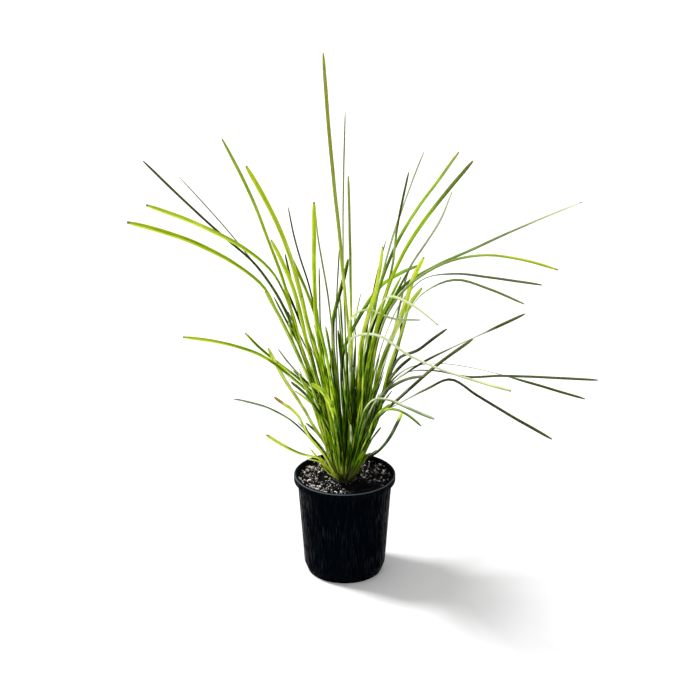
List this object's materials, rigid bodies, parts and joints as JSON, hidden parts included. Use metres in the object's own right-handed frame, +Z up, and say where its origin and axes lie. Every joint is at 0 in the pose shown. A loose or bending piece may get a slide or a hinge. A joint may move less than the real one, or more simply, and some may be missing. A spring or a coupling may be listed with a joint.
{
  "type": "potted ornamental grass",
  "caption": "Clump of long, narrow, channelled grass blades, upright in the middle and arching out all round, in a tapered black nursery pot of bark mix.",
  "frame": {"origin": "centre of the boss under the pot, on the surface that the pot stands on", "axes": "+Z up along the pot's axis; the front of the plant, as pictured, faces -Y, and +X is to the viewer's right"},
  "size_m": [0.6134, 0.4622, 0.7261],
  "materials": {
    "pot_plastic": "satin",
    "potting_mix": "matte",
    "crown_sheath": "matte",
    "leaf_sunlit": "satin",
    "leaf_green": "satin",
    "leaf_dark": "satin",
    "leaf_pale": "satin"
  },
  "bodies": {
    "root": {"pot": "pot_plastic", "potting_mix": "potting_mix", "crown": "crown_sheath", "left_leaf_01": "leaf_sunlit", "left_leaf_02": "leaf_sunlit", "left_leaf_03": "leaf_dark", "left_leaf_04": "leaf_pale", "left_leaf_05": "leaf_green", "left_leaf_06": "leaf_sunlit", "left_leaf_07": "leaf_sunlit", "left_leaf_08": "leaf_dark", "left_leaf_09": "leaf_dark", "left_leaf_10": "leaf_green", "left_leaf_11": "leaf_sunlit", "upright_leaf_01": "leaf_sunlit", "upright_leaf_02": "leaf_pale", "upright_leaf_03": "leaf_green", "upright_leaf_04": "leaf_pale", "upright_leaf_05": "leaf_green", "upright_leaf_06": "leaf_green", "upright_leaf_07": "leaf_sunlit", "upright_leaf_08": "leaf_dark", "upright_leaf_09": "leaf_green", "right_leaf_01": "leaf_dark", "right_leaf_02": "leaf_sunlit", "right_leaf_03": "leaf_green", "right_leaf_04": "leaf_pale", "right_leaf_05": "leaf_pale", "right_leaf_06": "leaf_green", "right_leaf_07": "leaf_sunlit", "right_leaf_08": "leaf_dark", "right_leaf_09": "leaf_green", "right_leaf_10": "leaf_pale", "right_leaf_11": "leaf_sunlit", "right_leaf_12": "leaf_sunlit", "right_leaf_13": "leaf_dark", "right_leaf_14": "leaf_green", "right_leaf_15": "leaf_dark", "low_right_leaf_01": "leaf_dark", "low_right_leaf_02": "leaf_dark", "low_right_leaf_03": "leaf_dark", "low_right_leaf_04": "leaf_dark", "low_right_leaf_05": "leaf_dark", "low_right_leaf_06": "leaf_pale", "low_right_leaf_07": "leaf_pale", "low_right_leaf_08": "leaf_dark", "low_right_leaf_09": "leaf_dark", "low_right_leaf_10": "leaf_pale", "low_right_leaf_11": "leaf_green", "low_right_leaf_12": "leaf_dark", "low_right_leaf_13": "leaf_dark", "low_left_leaf_01": "leaf_sunlit", "low_left_leaf_02": "leaf_green", "low_left_leaf_03": "leaf_sunlit", "low_left_leaf_04": "leaf_dark", "low_left_leaf_05": "leaf_sunlit", "low_left_leaf_06": "leaf_dark", "low_left_leaf_07": "leaf_sunlit", "low_left_leaf_08": "leaf_dark", "low_left_leaf_09": "leaf_sunlit"}
  },
  "joints": []
}
